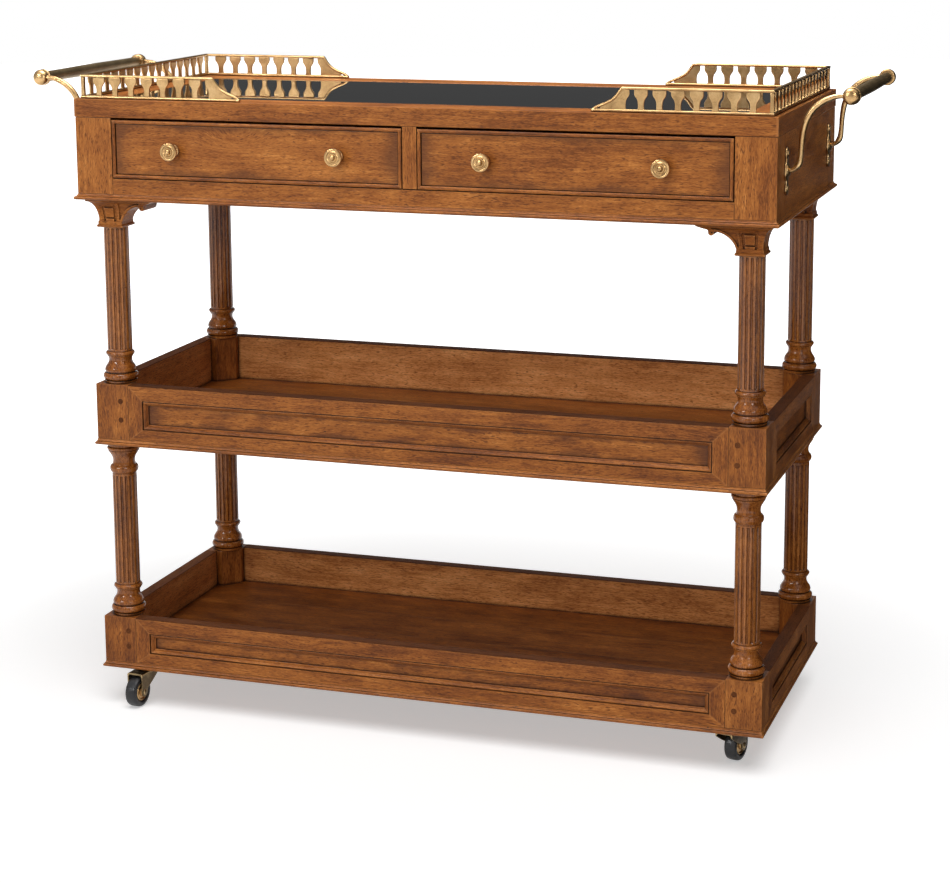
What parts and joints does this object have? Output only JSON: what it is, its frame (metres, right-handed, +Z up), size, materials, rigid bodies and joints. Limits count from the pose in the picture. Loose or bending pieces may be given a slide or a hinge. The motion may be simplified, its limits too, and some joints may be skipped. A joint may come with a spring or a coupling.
{
  "type": "serving cart",
  "caption": "Wooden serving cart: glass-topped case with drawers, open trays on fluted columns with bracket capitals, pierced brass gallery, push handles and swivel casters.",
  "frame": {"origin": "on the floor under the centre of the cart's bounding box, knobs and handles included", "axes": "+X along the cart towards its right end, +Y from the drawers towards the back, +Z up"},
  "size_m": [1.3208, 0.5002, 1.0287],
  "materials": {
    "walnut": "satin walnut with dark glaze in the grooves",
    "drawer_wood": "plain sealed wood",
    "black_glass": "polished opaque black",
    "cast_brass": "cast and lightly aged",
    "bronze": "dark aged bronze",
    "plated_steel": "brass plated",
    "black_rubber": "matt"
  },
  "bodies": {
    "cart": {"lower_tray_base": "walnut", "lower_tray_front": "walnut", "lower_tray_back": "walnut", "lower_tray_end_left": "walnut", "lower_tray_end_right": "walnut", "middle_tray_base": "walnut", "middle_tray_front": "walnut", "middle_tray_back": "walnut", "middle_tray_end_left": "walnut", "middle_tray_end_right": "walnut", "lower_column_front_left": "walnut", "lower_column_front_right": "walnut", "lower_column_back_left": "walnut", "lower_column_back_right": "walnut", "upper_column_front_left": "walnut", "upper_column_front_right": "walnut", "upper_column_back_left": "walnut", "upper_column_back_right": "walnut", "capital_front_left": "walnut", "capital_front_right": "walnut", "capital_back_left": "walnut", "capital_back_right": "walnut", "case_base": "walnut", "case_carcass": "walnut", "drawer_rail": "walnut", "drawer_divider": "walnut", "top_frame": "walnut", "top_glass": "black_glass", "gallery_left": "cast_brass", "gallery_right": "cast_brass", "handle_bar_left": "bronze", "handle_bar_right": "bronze", "handle_bracket_front_left": "cast_brass", "handle_bracket_front_right": "cast_brass", "handle_bracket_back_left": "cast_brass", "handle_bracket_back_right": "cast_brass", "caster_plate_front_left": "plated_steel", "caster_plate_front_right": "plated_steel", "caster_plate_back_left": "plated_steel", "caster_plate_back_right": "plated_steel"},
    "left_drawer": {"drawer_left_front": "walnut", "drawer_left_box": "drawer_wood", "drawer_left_knob_left": "cast_brass", "drawer_left_knob_right": "cast_brass"},
    "right_drawer": {"drawer_right_front": "walnut", "drawer_right_box": "drawer_wood", "drawer_right_knob_left": "cast_brass", "drawer_right_knob_right": "cast_brass"},
    "front_left_fork": {"caster_fork_front_left": "plated_steel"},
    "front_right_fork": {"caster_fork_front_right": "plated_steel"},
    "back_left_fork": {"caster_fork_back_left": "plated_steel"},
    "back_right_fork": {"caster_fork_back_right": "plated_steel"},
    "front_left_wheel": {"caster_hub_front_left": "cast_brass", "caster_tyre_front_left": "black_rubber"},
    "front_right_wheel": {"caster_hub_front_right": "cast_brass", "caster_tyre_front_right": "black_rubber"},
    "back_left_wheel": {"caster_hub_back_left": "cast_brass", "caster_tyre_back_left": "black_rubber"},
    "back_right_wheel": {"caster_hub_back_right": "cast_brass", "caster_tyre_back_right": "black_rubber"}
  },
  "joints": [
    {"name": "left_drawer_slide", "type": "slide", "parent": "cart", "child": "left_drawer", "axis": [0, -1, 0], "range_m": [0, 0.3]},
    {"name": "right_drawer_slide", "type": "slide", "parent": "cart", "child": "right_drawer", "axis": [0, -1, 0], "range_m": [0, 0.3]},
    {"name": "front_left_swivel", "type": "hinge", "parent": "cart", "child": "front_left_fork", "pos_m": [-0.485, -0.18125, 0.03], "axis": [0, 0, 1], "continuous": true},
    {"name": "front_right_swivel", "type": "hinge", "parent": "cart", "child": "front_right_fork", "pos_m": [0.485, -0.18125, 0.03], "axis": [0, 0, 1], "continuous": true},
    {"name": "back_left_swivel", "type": "hinge", "parent": "cart", "child": "back_left_fork", "pos_m": [-0.485, 0.19875, 0.03], "axis": [0, 0, 1], "continuous": true},
    {"name": "back_right_swivel", "type": "hinge", "parent": "cart", "child": "back_right_fork", "pos_m": [0.485, 0.19875, 0.03], "axis": [0, 0, 1], "continuous": true},
    {"name": "front_left_roll", "type": "hinge", "parent": "front_left_fork", "child": "front_left_wheel", "pos_m": [-0.4877, -0.21213, 0.025], "axis": [0.9962, -0.0872, 0], "continuous": true},
    {"name": "front_right_roll", "type": "hinge", "parent": "front_right_fork", "child": "front_right_wheel", "pos_m": [0.49145, -0.15093, 0.025], "axis": [-0.9781, 0.2079, 0], "continuous": true},
    {"name": "back_left_roll", "type": "hinge", "parent": "back_left_fork", "child": "back_left_wheel", "pos_m": [-0.4925, 0.16867, 0.025], "axis": [0.9703, -0.2419, 0], "continuous": true},
    {"name": "back_right_roll", "type": "hinge", "parent": "back_right_fork", "child": "back_right_wheel", "pos_m": [0.48985, 0.16813, 0.025], "axis": [0.9877, 0.1564, 0], "continuous": true}
  ]
}
